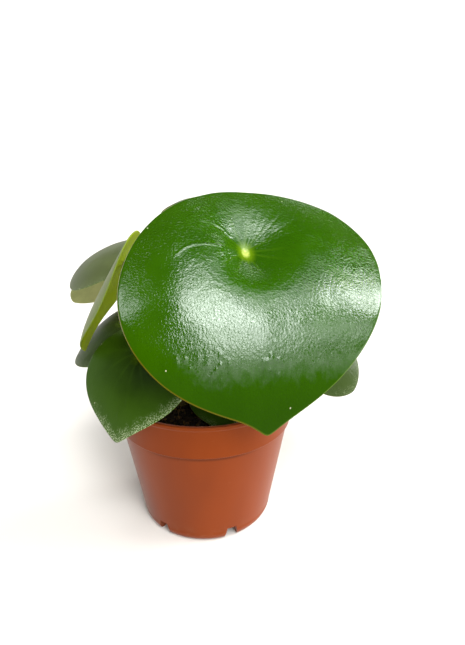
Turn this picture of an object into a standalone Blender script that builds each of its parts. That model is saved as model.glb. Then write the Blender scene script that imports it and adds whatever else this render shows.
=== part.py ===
"""A potted peperomia: thick round leaves on long stalks, short stems, soil and a plastic plant pot.

Metres, +Z up. The origin is the centre of the pot's underside, on its middle pad. The pot's axis is +Z,
and the big leaf faces -Y.
"""
from math import cos, pi, radians, sin
from typing import NamedTuple

import bmesh
import bpy
import numpy as np
from mathutils import Euler, Vector

MM = 0.001
GAP = 0.3 * MM  # between pieces that touch on the real plant

# Pot
POT_HEIGHT = 81.4 * MM
RIM_RADIUS = 52.5 * MM
COLLAR_HEIGHT = 19.0 * MM
COLLAR_FOOT_RADIUS = 51.3 * MM
COLLAR_STEP = 1.3 * MM
HEEL_RADIUS = 40.0 * MM  # where the rounded lower edge begins
HEEL_HEIGHT = 6.4 * MM
FOOT_RADIUS = 35.8 * MM
FOOT_WIDTH = 2.0 * MM
FOOT_HEIGHT = 8.6 * MM  # the floor is raised this far inside the foot
WALL = 1.5 * MM
LIP = 2.1 * MM
CORNER = 2.2 * MM  # of the slope between the floor and the wall inside
PAD_RADIUS = 7.0 * MM
POT_SIDES = 60
NOTCHES = 6
FIRST_NOTCH = radians(-126.5)
NOTCH_WIDTH = 8.7 * MM  # at the table
NOTCH_TOP = 5.3 * MM  # the width of its upper edge
NOTCH_HEIGHT = 8.0 * MM
DRAIN_CIRCLE = 24.0 * MM
DRAIN_RADIUS = 3.6 * MM

# Soil
SOIL_TOP = 69.5 * MM
SOIL_SIDES = 48
SOIL_RINGS = 8
STEM_DEPTH = 20.0 * MM  # of each stem's hole

# Leaves
STALK_SIDES = 7
STALK_STEPS = 10
STEM_SIDES = 12
FLAT_ROUND_SPOT = 6.0  # mm, how far the flat round a leaf's spot reaches
TIP_ROUND = 0.03  # how blunt a leaf's point is, in radians of its edge


class Stem(NamedTuple):
    """A short upright stem. foot and top are (x, y) in mm, height is its top's z in mm."""

    foot: tuple
    top: tuple
    height: float
    radius: float


class Leaf(NamedTuple):
    """A shield-shaped leaf, whose stalk joins its underside at the spot. Lengths in mm, angles in degrees.

    heading is the turn of its tip from +X, droop tips it down and roll turns it about its midrib.
    attach is the spot's place along the length, from the round end, and side its place across.
    up is how far up its stem the stalk grows.
    """

    spot: tuple
    heading: float
    droop: float
    roll: float
    length: float
    width: float
    stem: str
    up: float
    tip: float = 8.0
    tip_spread: float = 0.36
    tip_power: float = 1.3
    attach: float = 0.28
    side: float = 0.0
    front: float = 0.52
    lean: float = 0.0
    skew: float = 0.0
    dome: float = 5.0
    curl: float = 2.0
    left_curl: float = 0.0
    right_curl: float = 0.0
    twist: float = 0.0
    dimple: float = 2.0
    dimple_width: float = 5.0
    dimple_lean: tuple = (0.0, 0.0, 0.0)  # how much wider it is to the right, to the tip and lengthways
    wave: float = 0.8
    thick: float = 1.5
    stalk: float = 1.8
    rise: float = 0.38
    bend: float = 0.38


STEMS = {
    "left": Stem((-14, -2), (-20, 2), 104, 5.0),
    "middle": Stem((10, 10), (14, 16), 116, 5.5),
    "front": Stem((15, -5), (17, -2), 79, 4.5),
}

LEAVES = {
    "front_big": Leaf((23.1, -22.6, 164.2), -77.3, 43.2, -1.7, 126.5, 133.9, "middle", 0.80,
                      tip=6.8, tip_spread=0.156, tip_power=1.1, attach=0.32, side=-2.9, front=0.498,
                      lean=-9.3, skew=-1.4, dome=7.6, curl=25.6, left_curl=3.5, right_curl=-0.6,
                      twist=1.7, dimple=8.7, dimple_width=21.5, dimple_lean=(0.27, -0.14, 0.2), wave=0,
                      thick=2.0, stalk=2.4),
    "left_low": Leaf((-30.3, -26.9, 112), -118.5, 45, -1.5, 65.5, 65, "left", 0.50, wave=0.4),
    "left_behind": Leaf((-49.3, 29.8, 110.3), 177.5, 28, -19, 60, 51, "left", 0.60, tip=3, tip_spread=0.5,
                        attach=0.22),
    "left_edge": Leaf((-41.2, -9.4, 157.5), 168.6, 58.4, -4.3, 78.5, 43.1, "left", 0.90, tip=5.2,
                      attach=0.23, lean=4.7, dome=0.3, curl=3.5, left_curl=6.6, right_curl=5.9,
                      twist=-0.3, wave=0),
    "left_high": Leaf((-45, 47.5, 157), 205.8, 18, -2.6, 67, 59.4, "left", 0.95, tip=0, attach=0.27,
                      skew=2.6, dome=4.4, curl=6.8),
    "left_under": Leaf((-61, 64, 132.7), 177.5, 19.5, 31.5, 52.5, 45.5, "left", 1.0, tip=2, tip_spread=0.5),
    "top_back": Leaf((-3.5, 38, 186), 110, 15, -5, 46.5, 45, "middle", 1.0, tip=5),
    "right_low": Leaf((63, 8, 106.3), -25, 39, 26, 56, 47.5, "middle", 0.55, tip=2, tip_spread=0.5),
    "rim_small": Leaf((12, -15, 84), -88, 6, 0, 41, 40, "front", 0.60, tip=5),
    "right_high": Leaf((66, 22, 150), 10, 20, 5, 66, 62, "middle", 0.90),
    "right_mid": Leaf((50, -6, 134), -14, 36, 0, 54, 52, "middle", 0.65),
    "right_young": Leaf((33, 27, 93), 35, 26, 0, 36, 33, "front", 0.90, tip=5, thick=1.3, stalk=1.5),
    "back_left": Leaf((-8, 70, 128), 100, 34, 0, 62, 60, "left", 0.90),
    "back_right": Leaf((46, 62, 128), 50, 38, 0, 66, 62, "middle", 0.80),
    "back_low": Leaf((10, 42, 98), 85, 36, 0, 46, 44, "middle", 0.35, tip=6),
    "back_high": Leaf((30, 66, 164), 75, 22, 0, 60, 58, "middle", 1.0, tip=7),
    "top_young": Leaf((22, 16, 168), 30, 10, 0, 32, 29, "middle", 1.0, tip=5, thick=1.3, stalk=1.4),
}
BIG_LEAF = "front_big"


def clear_scene():
    for thing in list(bpy.data.objects):
        bpy.data.objects.remove(thing)


def material(name, colour, roughness):
    """A plain Principled finish. colour is linear red, green and blue."""
    made = bpy.data.materials.new(name)
    made.use_nodes = True
    shader = made.node_tree.nodes["Principled BSDF"]
    shader.inputs["Base Color"].default_value = (*colour, 1)
    shader.inputs["Roughness"].default_value = roughness
    shader.inputs["Metallic"].default_value = 0
    made.diffuse_color = (*colour, 1)
    return made


def add_object(name, mesh, finish, parent=None):
    thing = bpy.data.objects.new(name, mesh)
    bpy.context.scene.collection.objects.link(thing)
    if finish:
        mesh.materials.append(finish)
    thing.parent = parent
    return thing


def closed_mesh(name, points, faces):
    """A mesh from points and faces, triangulated, with its faces pointing out."""
    work = bmesh.new()
    corners = [work.verts.new(point) for point in points]
    for face in faces:
        work.faces.new([corners[index] for index in face])
    bmesh.ops.triangulate(work, faces=[face for face in work.faces if len(face.verts) > 3])
    bmesh.ops.recalc_face_normals(work, faces=work.faces)
    mesh = bpy.data.meshes.new(name)
    work.to_mesh(mesh)
    work.free()
    return mesh


def turned(name, profile, sides):
    """A solid turned about Z from a profile of (radius, z), whose first and last points lie on the axis."""
    points = [Vector((0, 0, profile[0][1])), Vector((0, 0, profile[-1][1]))]
    rings = []
    for radius, z in profile[1:-1]:
        rings.append([len(points) + side for side in range(sides)])
        turns = [2 * pi * side / sides for side in range(sides)]
        points += [Vector((radius * cos(turn), radius * sin(turn), z)) for turn in turns]
    faces = []
    for side in range(sides):
        after = (side + 1) % sides
        faces.append((0, rings[0][side], rings[0][after]))
        faces.append((1, rings[-1][after], rings[-1][side]))
        for low, high in zip(rings, rings[1:]):
            faces.append((low[side], low[after], high[after], high[side]))
    return closed_mesh(name, points, faces)


def cut(thing, cutters):
    """Takes the cutters out of a solid and removes them."""
    for cutter in cutters:
        cutter.hide_render = True
        cutter.display_type = "WIRE"
        boolean = thing.modifiers.new("cut", "BOOLEAN")
        boolean.operation = "DIFFERENCE"
        boolean.solver = "EXACT"
        boolean.object = cutter
    apply_modifiers(thing)
    for cutter in cutters:
        bpy.data.objects.remove(cutter)


def join(thing, pieces):
    """Fuses the pieces into a solid with one union, and removes them."""
    group = bpy.data.collections.new("pieces")
    for piece in pieces:
        group.objects.link(piece)
    union = thing.modifiers.new("join", "BOOLEAN")
    union.operation = "UNION"
    union.solver = "EXACT"
    union.operand_type = "COLLECTION"
    union.collection = group
    apply_modifiers(thing)
    for piece in pieces:
        bpy.data.objects.remove(piece)
    bpy.data.collections.remove(group)


def apply_modifiers(thing):
    bpy.context.view_layer.update()
    seen = thing.evaluated_get(bpy.context.evaluated_depsgraph_get())
    mesh = bpy.data.meshes.new_from_object(seen)
    thing.modifiers.clear()
    thing.data = mesh


def smooth(thing, angle):
    thing.data.shade_smooth()
    thing.data.set_sharp_from_angle(angle=radians(angle))


def pot_outside(z):
    """The body's outer radius at a height between the heel and the collar."""
    top = POT_HEIGHT - COLLAR_HEIGHT
    share = (z - HEEL_HEIGHT) / (top - HEEL_HEIGHT)
    return HEEL_RADIUS + (COLLAR_FOOT_RADIUS - COLLAR_STEP - HEEL_RADIUS) * share


def pot_inside(z):
    return pot_outside(z) - WALL


def floor_top():
    return FOOT_HEIGHT + WALL


def make_pot(finish):
    collar_foot = POT_HEIGHT - COLLAR_HEIGHT
    shoulder = pot_outside(collar_foot)
    heel = [
        (FOOT_RADIUS + (HEEL_RADIUS - FOOT_RADIUS) * sin(turn), HEEL_HEIGHT * (1 - cos(turn)))
        for turn in (radians(step) for step in (0, 22.5, 45, 67.5, 90))
    ]
    lip_round = 0.5 * MM
    ledge = collar_foot + 1.2 * MM
    floor = floor_top()
    profile = [
        (0, 0),
        (PAD_RADIUS, 0),
        (PAD_RADIUS + 0.4 * MM, FOOT_HEIGHT),
        (FOOT_RADIUS - 0.5 * MM, FOOT_HEIGHT),
        (FOOT_RADIUS - FOOT_WIDTH, 0),
        *heel,
        (shoulder, collar_foot - 0.2 * MM),
        (COLLAR_FOOT_RADIUS - 0.3 * MM, collar_foot),
        (COLLAR_FOOT_RADIUS, collar_foot + 0.4 * MM),
        (RIM_RADIUS - 0.5 * MM, POT_HEIGHT - 2.6 * MM),
        (RIM_RADIUS, POT_HEIGHT - 1.8 * MM),
        (RIM_RADIUS, POT_HEIGHT - lip_round),
        (RIM_RADIUS - lip_round, POT_HEIGHT),
        (RIM_RADIUS - LIP + lip_round, POT_HEIGHT),
        (RIM_RADIUS - LIP, POT_HEIGHT - lip_round),
        (COLLAR_FOOT_RADIUS - WALL, ledge),
        (pot_inside(collar_foot), collar_foot - 0.6 * MM),
        (pot_inside(HEEL_HEIGHT), floor + CORNER),
        (pot_inside(HEEL_HEIGHT) - CORNER, floor),
        (0, floor),
    ]
    pot = add_object("pot", turned("pot", profile, POT_SIDES), finish)
    cutters = []
    for number in range(NOTCHES):
        turn = FIRST_NOTCH + 2 * pi * number / NOTCHES
        outward = Vector((cos(turn), sin(turn), 0))
        bpy.ops.mesh.primitive_cube_add(size=1, rotation=(0, 0, turn), location=outward * FOOT_RADIUS)
        notch = bpy.context.object
        notch.dimensions = (14 * MM, NOTCH_WIDTH, 2 * NOTCH_HEIGHT)
        for corner in notch.data.vertices:
            corner.co.y *= NOTCH_TOP / NOTCH_WIDTH if corner.co.z > 0 else 2 - NOTCH_TOP / NOTCH_WIDTH
        cutters.append(notch)
        bpy.ops.mesh.primitive_cylinder_add(
            vertices=16, radius=DRAIN_RADIUS, depth=24 * MM, location=outward * DRAIN_CIRCLE
        )
        cutters.append(bpy.context.object)
    cut(pot, cutters)
    smooth(pot, 35)
    return pot


def soil_height(x, y):
    """The soil's uneven top."""
    lumps = sin(x * 210 + 1.1) * cos(y * 180 - 0.4) + 0.6 * sin(x * 95 - y * 120 + 2.0)
    return SOIL_TOP + 0.9 * MM * lumps


def make_soil(finish):
    bottom = floor_top() + GAP
    collar_foot = POT_HEIGHT - COLLAR_HEIGHT
    edge = COLLAR_FOOT_RADIUS - WALL - GAP
    under_ledge = pot_inside(collar_foot) - GAP
    foot_edge = pot_inside(HEEL_HEIGHT) - GAP
    profile = [
        (0, bottom),
        (foot_edge - CORNER, bottom),
        (foot_edge, bottom + CORNER),
        (under_ledge, collar_foot - 0.4 * MM),
        (edge, collar_foot + 2.0 * MM),
    ]
    profile += [(edge * (SOIL_RINGS - ring) / SOIL_RINGS, SOIL_TOP) for ring in range(SOIL_RINGS)]
    profile += [(0, SOIL_TOP)]
    mesh = turned("soil", profile, SOIL_SIDES)
    for vertex in mesh.vertices:
        if abs(vertex.co.z - SOIL_TOP) < 0.01 * MM:
            vertex.co.z = soil_height(vertex.co.x, vertex.co.y)
    soil = add_object("soil", mesh, finish)
    cutters = []
    for stem in STEMS.values():
        foot, _ = stem_ends(stem)
        radius = stem.radius * MM + GAP
        bpy.ops.mesh.primitive_cylinder_add(
            vertices=STEM_SIDES, radius=radius / cos(pi / STEM_SIDES), depth=60 * MM,
            location=foot + Vector((0, 0, 30 * MM - GAP))
        )
        cutters.append(bpy.context.object)
    cut(soil, cutters)
    smooth(soil, 50)
    return soil


def stem_ends(stem):
    """The bottom of a stem in its hole, and its top."""
    foot = Vector((stem.foot[0] * MM, stem.foot[1] * MM, SOIL_TOP - STEM_DEPTH))
    top = Vector((stem.top[0] * MM, stem.top[1] * MM, stem.height * MM))
    return foot, top


def stem_point(stem, up):
    """A point on a stem's axis: it stands upright in its hole and leans above the soil."""
    foot, top = stem_ends(stem)
    above = Vector((foot.x, foot.y, SOIL_TOP + 2 * MM))
    return above.lerp(top, up)


def tube(name, centres, radii, sides):
    """A closed tube along a list of points, with a radius at each."""
    points, faces = [], []
    side_way = Vector((1, 0, 0))
    for index, centre in enumerate(centres):
        before, after = centres[max(index - 1, 0)], centres[min(index + 1, len(centres) - 1)]
        along = (after - before).normalized()
        side_way = (side_way - along * side_way.dot(along)).normalized()
        other_way = along.cross(side_way)
        for side in range(sides):
            turn = 2 * pi * side / sides
            points.append(centre + (side_way * cos(turn) + other_way * sin(turn)) * radii[index])
    for index in range(len(centres) - 1):
        for side in range(sides):
            here, there = index * sides + side, index * sides + (side + 1) % sides
            faces.append((here, there, there + sides, here + sides))
    faces.append(tuple(reversed(range(sides))))
    faces.append(tuple(range(len(points) - sides, len(points))))
    return closed_mesh(name, points, faces)


def leaf_turn(leaf):
    return Euler((radians(leaf.roll), radians(leaf.droop), radians(leaf.heading)))


def stalk_line(leaf):
    """The points along a leaf's stalk, from inside its stem to just under the blade."""
    facing = leaf_turn(leaf).to_matrix() @ Vector((0, 0, 1))
    start = stem_point(STEMS[leaf.stem], leaf.up)
    end = Vector(leaf.spot) * MM - facing * (leaf.thick / 2 * MM + GAP)
    reach = (end - start).length
    outward = Vector((end.x - start.x, end.y - start.y, 0)).normalized()
    leaving = (outward * 0.6 + Vector((0, 0, 0.8))).normalized()
    first = start + leaving * reach * leaf.rise
    second = end - facing * reach * leaf.bend
    line = []
    for step in range(STALK_STEPS + 1):
        t = step / STALK_STEPS
        u = 1 - t
        line.append(start * u**3 + first * 3 * u * u * t + second * 3 * u * t * t + end * t**3)
    line[-2] = end - facing * (line[-1] - line[-2]).length
    return line


def make_stem(name, finish):
    """A stem and the stalks that grow from it, as one piece."""
    stem = STEMS[name]
    foot, top = stem_ends(stem)
    radius = stem.radius * MM
    centres = [foot, foot.lerp(stem_point(stem, 0), 0.5), stem_point(stem, 0)]
    centres += [stem_point(stem, up) for up in (0.25, 0.5, 0.75, 0.95)]
    centres += [top + (top - stem_point(stem, 0)).normalized() * 2 * MM]
    radii = [radius * share for share in (1, 1, 1, 0.96, 0.92, 0.86, 0.8, 0.45)]
    body = add_object("stem_" + name, tube("stem_" + name, centres, radii, STEM_SIDES), finish)
    stalks = []
    for leaf_name, leaf in LEAVES.items():
        if leaf.stem == name:
            line = stalk_line(leaf)
            widths = [leaf.stalk * MM * (1.15 - 0.3 * step / STALK_STEPS) for step in range(STALK_STEPS + 1)]
            widths[-1] = leaf.stalk * MM * 1.1
            mesh = tube("stalk_" + leaf_name, line, widths, STALK_SIDES)
            stalks.append(add_object("stalk_" + leaf_name, mesh, finish))
    join(body, stalks)
    smooth(body, 50)
    return body


def outline(turn, leaf):
    """The blade's edge in its own plane, at an angle from the tip: mm along it and across it."""
    body = leaf.length - leaf.tip
    back, front = body * (1 - leaf.front), body * leaf.front
    along = np.where(np.cos(turn) > 0, front, back) * np.cos(turn)
    away = np.hypot(turn, TIP_ROUND)
    along = along + leaf.tip * np.exp(-((away / leaf.tip_spread) ** leaf.tip_power))
    along = along + leaf.lean * np.sin(turn) * np.abs(np.sin(turn))
    return along, leaf.width / 2 * np.sin(turn) + leaf.skew * np.sin(2 * turn)


def spot_along(leaf):
    """The spot's place along the midrib, from the blade's widest line."""
    return leaf.attach * leaf.length - (leaf.length - leaf.tip) * (1 - leaf.front)


def blade_height(along, across, leaf):
    """How far the blade's middle surface stands above the flat round its spot, in mm."""
    half = leaf.width / 2
    half_length = (leaf.length - leaf.tip) / 2
    spot = spot_along(leaf)

    def bowl(a, c):
        a, c = a / half_length, c / half
        curled = leaf.curl * np.maximum(0, a) ** 3
        curled = curled + leaf.left_curl * np.maximum(0, -c) ** 3 + leaf.right_curl * np.maximum(0, c) ** 3
        return leaf.twist * a * c - leaf.dome * (a**2 + c**2) - curled

    away = (along - spot) ** 2 + (across - leaf.side) ** 2
    bearing = np.arctan2(across - leaf.side, along - spot)
    right, tipward, lengthways = leaf.dimple_lean
    leaning = right * np.sin(bearing) + tipward * np.cos(bearing) + lengthways * np.cos(2 * bearing)
    spread = leaf.dimple_width * (1 + leaning)
    rounding = (bowl(along, across) - bowl(spot, leaf.side)) * (1 - np.exp(-away / FLAT_ROUND_SPOT**2))
    return rounding + leaf.dimple * (1 - np.exp(-away / spread**2))


def middle_surface(share, turn, leaf):
    """Points of the blade in its own frame, in mm. share runs from the spot, 0, to the edge, 1."""
    spot = spot_along(leaf)
    along, across = outline(turn, leaf)
    along, across = spot + share * (along - spot), leaf.side + share * (across - leaf.side)
    height = blade_height(along, across, leaf) + leaf.wave * share**3 * np.sin(3 * turn + 0.7)
    return np.stack([along - spot, across - leaf.side, height], -1)


def make_blade(name, finish, parent):
    """One leaf blade, thick in the middle and thin at its rounded edge."""
    leaf = LEAVES[name]
    big = name == BIG_LEAF
    sides, rings = (44, 8) if big else (24, 4)
    spread = np.arange(sides) * 2 * pi / sides
    spread = np.where(spread > pi, spread - 2 * pi, spread)
    turn = spread - 0.5 * np.sin(spread)  # closer together at the tip
    shares = np.append(np.linspace(0.97 / rings, 0.97, rings), 1.0)
    points = [(0, 0, leaf.thick / 2)]
    upper, lower = [], []
    for share in shares:
        middle = middle_surface(share, turn, leaf)
        inward = middle_surface(share - 0.01, turn, leaf)
        beside = middle_surface(share, turn + 0.01, leaf)
        normal = np.cross(middle - inward, beside - middle)
        normal /= np.linalg.norm(normal, axis=1)[:, None]
        half = leaf.thick / 2 * (1 - 0.5 * share**2)
        upper.append(len(points))
        if share == 1.0:
            points += [tuple(p) for p in middle]
            lower.append(upper[-1])
            break
        points += [tuple(p) for p in middle + normal * half]
        lower.append(len(points))
        points += [tuple(p) for p in middle - normal * half]
    points.append((0, 0, -leaf.thick / 2))
    faces = []
    for side in range(sides):
        after = (side + 1) % sides
        faces.append((0, upper[0] + side, upper[0] + after))
        faces.append((len(points) - 1, lower[0] + after, lower[0] + side))
        for inner, outer in zip(range(rings), range(1, rings + 1)):
            for first in (upper, lower):
                a, b = first[inner] + side, first[inner] + after
                c, d = first[outer] + after, first[outer] + side
                faces += [(a, d, c), (a, c, b)]
    mesh = closed_mesh("leaf_" + name, [Vector(point) * MM for point in points], faces)
    blade = add_object("leaf_" + name, mesh, finish, parent)
    blade.location = Vector(leaf.spot) * MM
    blade.rotation_euler = leaf_turn(leaf)
    smooth(blade, 60)
    return blade


def main():
    clear_scene()
    terracotta = material("terracotta_plastic", (0.36, 0.075, 0.016), 0.42)
    earth = material("potting_soil", (0.03, 0.018, 0.01), 0.95)
    pale_green = material("pale_stalk", (0.22, 0.29, 0.05), 0.4)
    dark_green = material("leaf_green", (0.05, 0.17, 0.005), 0.25)
    plant = bpy.data.objects.new("plant", None)
    bpy.context.scene.collection.objects.link(plant)
    make_pot(terracotta)
    make_soil(earth)
    for name in STEMS:
        make_stem(name, pale_green).parent = plant
    for name in LEAVES:
        make_blade(name, dark_green, plant)


main()
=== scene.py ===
"""The looks of a potted peperomia: glossy round leaves, pale stalks, crumbly soil and a plastic pot.

The scene is in metres with +Z up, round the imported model. Leaves, stems and pot profiles are worked
out in millimetres and degrees, and reach the scene's metres when their mesh is made.
"""

from itertools import product
from math import cos, pi, radians, sin
from typing import NamedTuple

import bmesh
import bpy
import numpy as np
from mathutils import Euler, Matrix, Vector
from mathutils.kdtree import KDTree


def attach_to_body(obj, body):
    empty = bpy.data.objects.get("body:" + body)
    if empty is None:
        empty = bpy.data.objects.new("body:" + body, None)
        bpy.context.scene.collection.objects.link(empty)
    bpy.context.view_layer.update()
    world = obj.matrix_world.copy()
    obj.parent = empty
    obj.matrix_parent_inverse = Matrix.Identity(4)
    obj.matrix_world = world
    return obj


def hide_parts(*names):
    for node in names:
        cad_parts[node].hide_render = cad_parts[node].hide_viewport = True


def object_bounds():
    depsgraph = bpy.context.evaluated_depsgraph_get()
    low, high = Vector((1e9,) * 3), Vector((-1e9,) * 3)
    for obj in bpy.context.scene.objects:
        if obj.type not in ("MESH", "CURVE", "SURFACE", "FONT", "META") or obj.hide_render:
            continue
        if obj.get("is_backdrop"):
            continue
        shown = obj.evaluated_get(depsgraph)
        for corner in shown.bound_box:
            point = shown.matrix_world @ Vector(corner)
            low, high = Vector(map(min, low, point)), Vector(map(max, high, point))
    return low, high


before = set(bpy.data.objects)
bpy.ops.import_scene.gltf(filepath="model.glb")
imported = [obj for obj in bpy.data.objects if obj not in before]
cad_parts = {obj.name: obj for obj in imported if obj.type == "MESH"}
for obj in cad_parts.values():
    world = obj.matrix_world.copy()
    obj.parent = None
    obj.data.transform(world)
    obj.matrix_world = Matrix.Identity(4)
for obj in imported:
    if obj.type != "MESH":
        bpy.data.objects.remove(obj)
CAD_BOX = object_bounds()
BODY = "root"
MM = 0.001

# Pot, in mm
POT_HEIGHT = 81.4
RIM_RADIUS = 52.5
COLLAR_HEIGHT = 19.0
COLLAR_FOOT_RADIUS = 51.3
COLLAR_FOOT = POT_HEIGHT - COLLAR_HEIGHT
COLLAR_STEP = 1.3
HEEL_RADIUS = 40.0
HEEL_HEIGHT = 6.4
FOOT_RADIUS = 35.8
FOOT_WIDTH = 2.0
FOOT_HEIGHT = 8.6  # how far the floor is raised inside the foot
WALL = 1.5
FLOOR_TOP = FOOT_HEIGHT + WALL
LIP = 2.1
CORNER = 2.2
PAD_RADIUS = 7.0
GATE_RADIUS = 1.8
GATE_DEPTH = 0.5
CORNER_ROUND = 0.5
SHARP_ANGLE = 38  # degrees, past which an edge stays sharp
POT_SIDES = 180
NOTCHES = 6  # in the foot, each in line with a drain hole
FIRST_NOTCH = -126.5  # degrees from +X
NOTCH_WIDTH = 8.7  # at the table
NOTCH_TOP = 5.3  # the width of its upper edge
NOTCH_HEIGHT = 8.0
NOTCH_DEPTH = 14.0  # of its cutter, through the wall
DRAIN_CIRCLE = 24.0
DRAIN_RADIUS = 3.6
DRAIN_DEPTH = 24.0  # of its cutter
DRAIN_SIDES = 40
# Painted shade: a dark line on the body under the collar's step, darkest at the front and back
CREASE_SHADE_LOW = 59.6  # a dark line under the collar begins here
CREASE_SHADE_HIGH = 61.2  # and is at its darkest from here up
CREASE_SHADE_FULL = 14.142  # to either side of the middle, where it begins to fade
CREASE_SHADE_GONE = 33.166

# Soil, in mm
SOIL_TOP = 69.5
SOIL_SIDES = 144
SOIL_RINGS = 48
STEM_DEPTH = 20.0
GAP = 0.3
# The loose pieces on it: amounts for a square metre, and reaches and sizes in metres
CRUMB_SIZES = {
    "Density": 190000.0, "Reach": 0.0475, "Fibre Density": 40000.0, "Fibre Reach": 0.042,
    "Smallest": 0.0005, "Largest": 0.0017,
}
CRUMB_SEED = 8
# Their shapes, as (how finely cut, (length, width, height), seed)
CRUMB_SHAPES = ((2, (1, 0.8, 0.6), 1.0), (2, (0.9, 0.6, 0.9), 4.0), (1, (1.4, 0.7, 0.35), 7.0))
FIBRE_SHAPES = ((1, (4.5, 0.16, 0.13), 2.0), (1, (3.0, 0.25, 0.12), 9.0))

# Leaf blades, with lengths in mm
FLAT_ROUND_SPOT = 6.0  # how far the flat round a leaf's spot reaches
TIP_ROUND = 0.03  # how blunt a leaf's point is, in radians of its edge
EDGE_ROUND = 0.015  # share of the blade that its rounded edge takes
EDGE_STEPS = 5
VEINS = 13  # that fan out from each spot
BIG_WIDTH = 133  # of a leaf with the relief given here; it is in proportion on the others
SWELLS = ((0.35, 19, 3), (0.14, 9, 5))  # broad and low, as (height, size, seed)
FOLD_HEIGHT = 0.05
STREAK_HEIGHT = 0.06
WRINKLE_HEIGHT = 0.05
PEBBLE_HEIGHT = 0.05
BLISTER_HEIGHT = 0.6
VEIN_HEIGHT = 0.22  # below the blade
VEIN_GROOVE = 0.01  # above it
RIDGES = (  # raised lines on the big leaf, as (mm from the spot, degrees from the tip) points
    ((10, -143), (16, -141), (20, -137), (23.5, -132), (28, -124)),
    ((13, -84), (17, -86), (22, -89.5), (26, -89.5), (30.5, -87), (37, -80)),
)
RIDGE_WIDTH = 0.75
RIDGE_HEIGHT = 0.2
# Patches on the big leaf, as (mm along from the spot, mm across, radius)
BLISTERS = ((57, -36, 5), (60, -22, 5), (62, 2, 5), (-12, 30, 2))
TAUT = ((3, 28, 17), (35, -48, 12), (13, -46, 10))  # with few wrinkles
UNDER_SHIFT = 50  # sets the patterns of the two sides apart
BLADE_LABELS = ("share", "upper", "vein", "wrinkled")  # numbers that each point of a blade has
FINE = dict(sides=432, rings=150, under_rings=38)
PLAIN = dict(sides=144, rings=46, under_rings=18)

# Stems and stalks, in mm
SCARS = (0.08, 0.2, 0.33, 0.46)  # how far up a stem its fallen leaves grew
RING_REACH = 1.1  # half the height of the ring round each of them
STALK_BEND = 0.38  # how slowly a stalk turns at its ends
JOINT_FADE = 9.0  # how far a stem's redness runs out along its stalks
SKIN_VOXEL = 0.5
SKIN_RELAX = 5  # rounds of smoothing
STALK_STEPS = 48
STALK_SIDES = 20
STEM_STEPS = 90
STEM_SIDES = 32
JOINT_STEPS = 100


class Stem(NamedTuple):
    """A short upright stem. foot and top are (x, y), height is its top's z, all in mm."""

    foot: tuple
    top: tuple
    height: float
    radius: float


class Leaf(NamedTuple):
    """A shield-shaped leaf, whose stalk joins its underside at the spot.

    Lengths are in mm and angles in degrees. heading is the turn of its tip from +X, droop tips it down
    and roll turns it about its midrib. attach is the spot's place along the length, from the round end,
    and side its place across. up is how far up its stem the stalk grows.
    """

    spot: tuple
    heading: float
    droop: float
    roll: float
    length: float
    width: float
    stem: str
    up: float
    tip: float = 8.0
    tip_spread: float = 0.36
    tip_power: float = 1.3
    attach: float = 0.28
    side: float = 0.0
    front: float = 0.52
    lean: float = 0.0
    skew: float = 0.0
    dome: float = 5.0
    curl: float = 2.0
    left_curl: float = 0.0
    right_curl: float = 0.0
    twist: float = 0.0
    dimple: float = 2.0
    dimple_width: float = 5.0
    dimple_lean: tuple = (0.0, 0.0, 0.0)  # how much wider it is to the right, to the tip and lengthways
    wave: float = 0.8
    thick: float = 1.5
    stalk: float = 1.8
    finish: str = "waxy"


STEMS = {
    "left": Stem((-14, -2), (-20, 2), 104, 5.0),
    "middle": Stem((10, 10), (14, 16), 116, 5.5),
    "front": Stem((15, -5), (17, -2), 79, 4.5),
}

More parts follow.
